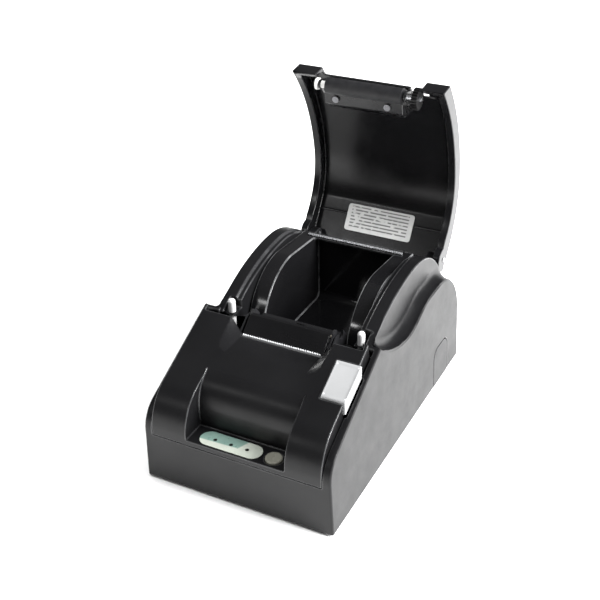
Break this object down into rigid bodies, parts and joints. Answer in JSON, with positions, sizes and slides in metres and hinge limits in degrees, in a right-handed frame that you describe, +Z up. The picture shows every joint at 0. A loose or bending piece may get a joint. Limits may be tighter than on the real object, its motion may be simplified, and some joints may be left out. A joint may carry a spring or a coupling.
{
  "type": "receipt printer",
  "caption": "Small desktop thermal receipt printer with its arched paper lid open: sloping front cover with a status pocket, release button, paper bay and lid-mounted roller.",
  "frame": {"origin": "middle of the case's footprint, on the plane its rubber feet stand on", "axes": "+Z up, -Y towards the front where the paper comes out, +X to the right seen from the front"},
  "size_m": [0.13, 0.2287, 0.2095],
  "materials": {
    "case_plastic": "satin, fine moulded texture",
    "cover_plastic": "satin, fine moulded texture",
    "bucket_plastic": "smooth moulded",
    "lid_plastic": "satin outside, smooth inside",
    "foot_rubber": "matte",
    "screw_steel": "bright",
    "sheet_steel": "rolled sheet",
    "motor_steel": "plated can",
    "spring_steel": "drawn wire",
    "black_sheet_steel": "black coated sheet",
    "black_gear_plastic": "moulded",
    "white_bush_plastic": "moulded",
    "pinion_brass": "cut",
    "head_ceramic": "glazed ceramic",
    "head_aluminium": "extruded",
    "button_white": "satin",
    "pin_white": "smooth moulded",
    "panel_teal": "printed film, plain",
    "light_pipe": "clear tinted, unlit",
    "feed_silver": "satin silver",
    "label_white": "paper label, plain",
    "part_black": "moulded",
    "board_green": "solder mask",
    "board_post_brass": "turned",
    "can_metal": "drawn",
    "port_grey": "moulded",
    "roller_rubber": "ground"
  },
  "bodies": {
    "case": {"main_case": "case_plastic", "cable_knockout": "case_plastic", "front_cover": "cover_plastic", "bottom_plate": "case_plastic", "rubber_feet": "foot_rubber", "case_screws": "screw_steel", "paper_bucket": "bucket_plastic", "bay_rod": "screw_steel", "mechanism_frame": "black_sheet_steel", "stepper_motor": "motor_steel", "idler_stud": "screw_steel", "thermal_head": "head_ceramic", "head_heat_sink": "head_aluminium", "head_springs": "spring_steel", "head_cover": "cover_plastic", "tear_bar": "sheet_steel", "paper_guide": "bucket_plastic", "paper_sensor": "part_black", "latch_spring": "spring_steel", "pin_springs": "spring_steel", "status_label": "panel_teal", "status_lights": "light_pipe", "feed_switch": "part_black", "light_board": "board_green", "control_board": "board_green", "board_posts": "board_post_brass", "board_chips": "part_black", "board_capacitors": "can_metal", "dc_jack": "part_black", "usb_port": "can_metal", "drawer_port": "port_grey", "power_switch_body": "part_black", "hinge_pins": "screw_steel"},
    "lid": {"lid_shell": "lid_plastic", "lid_label": "label_white", "platen_bracket": "bucket_plastic", "platen_bush_left": "white_bush_plastic", "platen_bush_right": "black_gear_plastic", "bracket_screws": "screw_steel"},
    "platen": {"platen_shaft": "screw_steel", "platen_roller": "roller_rubber", "platen_gear": "black_gear_plastic"},
    "idler": {"idler_gear": "black_gear_plastic"},
    "pinion": {"motor_pinion": "pinion_brass", "motor_shaft": "screw_steel"},
    "release": {"release_button": "button_white", "latch_hooks": "black_sheet_steel", "latch_shaft": "screw_steel"},
    "feed_button": {"feed_button": "feed_silver"},
    "eject_pin_left": {"eject_pin_left": "pin_white"},
    "eject_pin_right": {"eject_pin_right": "pin_white"},
    "power_rocker": {"power_rocker": "part_black"}
  },
  "joints": [
    {"name": "lid_hinge", "type": "hinge", "parent": "case", "child": "lid", "pos_m": [0, 0.0965, 0.082], "axis": [1, 0, 0], "range_deg": [0, 82.5]},
    {"name": "platen_spin", "type": "hinge", "parent": "lid", "child": "platen", "pos_m": [0, 0.08282, 0.20123], "axis": [1, 0, 0], "continuous": true},
    {"name": "idler_spin", "type": "hinge", "parent": "case", "child": "idler", "pos_m": [0, -0.026, 0.06835], "axis": [1, 0, 0], "continuous": true},
    {"name": "pinion_spin", "type": "hinge", "parent": "case", "child": "pinion", "pos_m": [0, -0.0316, 0.0569], "axis": [1, 0, 0], "continuous": true},
    {"name": "release_press", "type": "hinge", "parent": "case", "child": "release", "pos_m": [0, -0.042, 0.071], "axis": [1, 0, 0], "range_deg": [0, 6], "stiffness_Nm_per_rad": 0.5, "springref_deg": -2.86},
    {"name": "feed_press", "type": "slide", "parent": "case", "child": "feed_button", "axis": [0, 0, -1], "range_m": [0, 0.001], "stiffness_N_per_m": 300, "springref_m": -0.0003},
    {"name": "eject_left", "type": "slide", "parent": "case", "child": "eject_pin_left", "axis": [0, 0, -1], "range_m": [0, 0.003], "stiffness_N_per_m": 200, "springref_m": -0.001},
    {"name": "eject_right", "type": "slide", "parent": "case", "child": "eject_pin_right", "axis": [0, 0, -1], "range_m": [0, 0.003], "stiffness_N_per_m": 200, "springref_m": -0.001},
    {"name": "power_rock", "type": "hinge", "parent": "case", "child": "power_rocker", "pos_m": [0.0375, 0.1015, 0.0168], "axis": [0, 0, 1], "range_deg": [-5, 5]}
  ],
  "couplings": [
    {"joint": "pinion_spin", "follows": "idler_spin", "ratio": -2.5}
  ]
}
